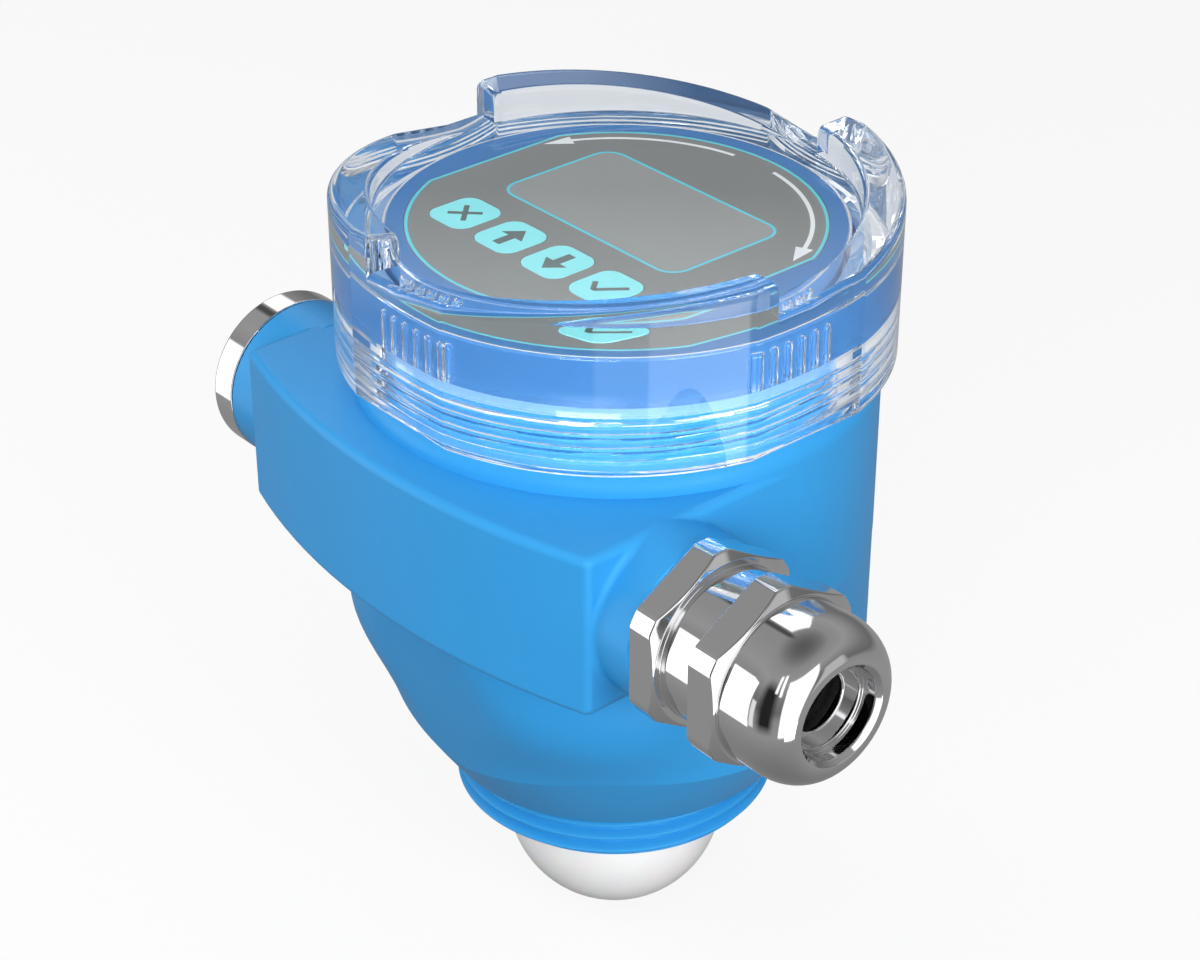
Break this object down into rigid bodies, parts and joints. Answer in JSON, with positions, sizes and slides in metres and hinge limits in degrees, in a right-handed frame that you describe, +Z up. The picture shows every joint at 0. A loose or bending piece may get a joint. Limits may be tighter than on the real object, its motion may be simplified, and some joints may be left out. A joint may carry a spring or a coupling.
{
  "type": "radar level sensor",
  "caption": "Compact radar level sensor: blue housing with a clear screw lid over keys and display, a side cable gland, a process thread and a white domed lens.",
  "frame": {"origin": "centre of the process thread at its shoulder, on the sensor axis", "axes": "+Z up along the sensor axis towards the lid, +X along the cable gland, -Y is the front with the cable block and the keys"},
  "size_m": [0.1175, 0.0807, 0.1207],
  "materials": {
    "blue_shell": "satin",
    "blue_carrier": "satin",
    "clear_lid": "clear",
    "white_lens": "satin",
    "plated": "polished",
    "seal_rubber": "matt",
    "lid_gasket": "matt",
    "face_grey": "satin",
    "key_cyan": "satin",
    "lcd_pane": "gloss",
    "board_green": "satin",
    "black_plastic": "satin",
    "steel": "brushed",
    "brass": "satin",
    "aluminium": "machined",
    "terminal_grey": "satin",
    "cable_ribbon": "satin"
  },
  "bodies": {
    "base": {"blanking_plug": "plated", "board_screw_a": "steel", "board_screw_b": "steel", "board_screw_c": "steel", "capacitors": "black_plastic", "compartment_cover": "black_plastic", "display_board": "board_green", "display_cable": "cable_ribbon", "display_carrier": "blue_carrier", "display_socket": "black_plastic", "faceplate": "face_grey", "feed_horn": "aluminium", "gland_body": "plated", "gland_oring": "seal_rubber", "gland_seal": "seal_rubber", "horn_screw_a": "steel", "horn_screw_b": "steel", "horn_screw_c": "steel", "housing": "blue_shell", "lcd_glass": "lcd_pane", "lcd_holder": "black_plastic", "lcd_window": "lcd_pane", "lens": "white_lens", "lens_oring": "seal_rubber", "main_board": "board_green", "nose_nut": "black_plastic", "nose_oring": "seal_rubber", "plug_oring": "seal_rubber", "process_connection": "blue_shell", "radar_board": "board_green", "shield_can": "aluminium", "standoff_a": "brass", "standoff_b": "brass", "standoff_c": "brass", "switch_accept": "black_plastic", "switch_down": "black_plastic", "switch_escape": "black_plastic", "switch_up": "black_plastic", "terminal_block": "terminal_grey", "terminal_screw_1": "steel", "terminal_screw_2": "steel", "terminal_screw_3": "steel", "terminal_screw_4": "steel", "terminal_screw_5": "steel", "terminal_screw_6": "steel"},
    "seal_ring": {"lid_seal": "lid_gasket"},
    "lid": {"lid": "clear_lid"},
    "clamp_ring": {"clamp_ring": "plated"},
    "dome_nut": {"dome_nut": "plated"},
    "key_accept": {"key_accept": "key_cyan"},
    "key_down": {"key_down": "key_cyan"},
    "key_escape": {"key_escape": "key_cyan"},
    "key_up": {"key_up": "key_cyan"}
  },
  "joints": [
    {"name": "lid_lift", "type": "slide", "parent": "base", "child": "seal_ring", "axis": [0, 0, 1], "range_m": [0, 0.006]},
    {"name": "lid_turn", "type": "hinge", "parent": "seal_ring", "child": "lid", "pos_m": [0, 0, 0.0685], "axis": [0, 0, 1], "range_deg": [0, 1080]},
    {"name": "clamp_feed", "type": "slide", "parent": "base", "child": "clamp_ring", "axis": [1, 0, 0], "range_m": [0, 0.0075]},
    {"name": "nut_turn", "type": "hinge", "parent": "clamp_ring", "child": "dome_nut", "pos_m": [0.058, -0.0239, 0.0487], "axis": [1, 0, 0], "range_deg": [0, 1800]},
    {"name": "key_accept_press", "type": "slide", "parent": "base", "child": "key_accept", "axis": [0, 0, -1], "range_m": [0, 0.0005], "stiffness_N_per_m": 2000},
    {"name": "key_down_press", "type": "slide", "parent": "base", "child": "key_down", "axis": [0, 0, -1], "range_m": [0, 0.0005], "stiffness_N_per_m": 2000},
    {"name": "key_escape_press", "type": "slide", "parent": "base", "child": "key_escape", "axis": [0, 0, -1], "range_m": [0, 0.0005], "stiffness_N_per_m": 2000},
    {"name": "key_up_press", "type": "slide", "parent": "base", "child": "key_up", "axis": [0, 0, -1], "range_m": [0, 0.0005], "stiffness_N_per_m": 2000}
  ],
  "couplings": [
    {"joint": "lid_lift", "follows": "lid_turn", "m_per_rad": 0.00031831},
    {"joint": "clamp_feed", "follows": "nut_turn", "m_per_rad": 0.00023873}
  ]
}
